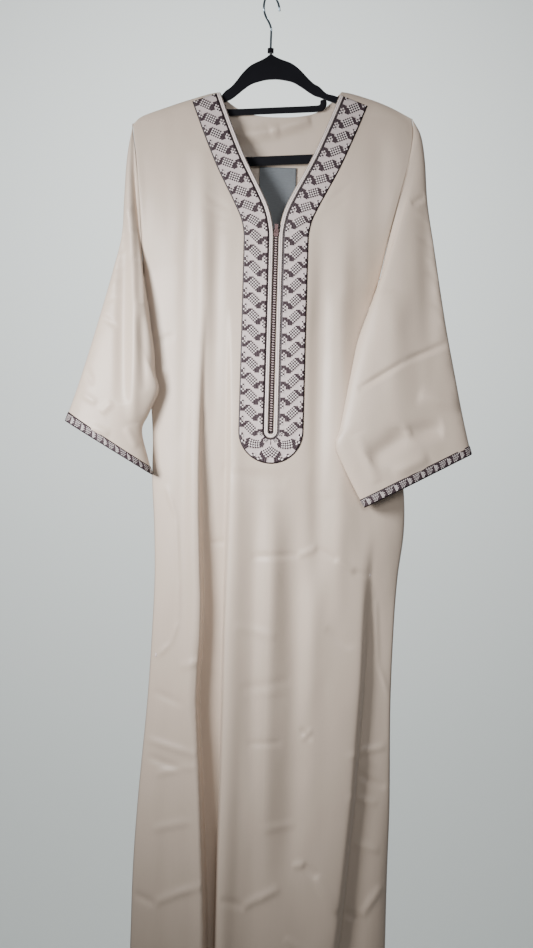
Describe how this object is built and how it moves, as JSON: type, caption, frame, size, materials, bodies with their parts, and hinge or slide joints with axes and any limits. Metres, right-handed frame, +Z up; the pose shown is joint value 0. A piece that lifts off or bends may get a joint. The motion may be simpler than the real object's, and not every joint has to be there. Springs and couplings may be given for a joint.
{
  "type": "thobe robe on clothes hanger",
  "caption": "Long beige satin thobe robe with an embroidered V neck and placket, front zip and banded half sleeves, hanging on a black flocked hanger with a wire hook.",
  "frame": {"origin": "the seat under the crest of the hanger's hook, where a rail carries it", "axes": "+Z up, the robe's front faces -Y, +X towards the viewer's right"},
  "size_m": [0.6545, 0.0897, 1.6035],
  "materials": {
    "satin": "satin",
    "woven_band": "matte",
    "cord": "matte",
    "zip_tape": "matte",
    "zip_metal": "satin",
    "label": "satin",
    "pocketing": "satin",
    "flock": "matte",
    "hook_chrome": "polished"
  },
  "bodies": {
    "robe": {"front_panel": "satin", "back_panel": "satin", "sleeve_left": "satin", "sleeve_right": "satin", "cuff_band_left": "woven_band", "cuff_band_right": "woven_band", "neck_band": "woven_band", "neck_cord": "cord", "zip_tape": "zip_tape", "zip_chain": "zip_metal", "zip_slider": "zip_metal", "label": "label", "pocket_bag_left": "pocketing", "pocket_bag_right": "pocketing", "hanger_body": "flock", "hanger_trouser_bar": "flock", "hanger_accessory_bar": "flock", "hanger_collar": "flock", "hanger_hook": "hook_chrome"},
    "pull": {"zip_pull": "zip_metal"}
  },
  "joints": [
    {"name": "pull_tab", "type": "hinge", "parent": "robe", "child": "pull", "pos_m": [0.017, -0.0324, -0.3805], "axis": [1, 0, 0], "range_deg": [0, 172]}
  ]
}
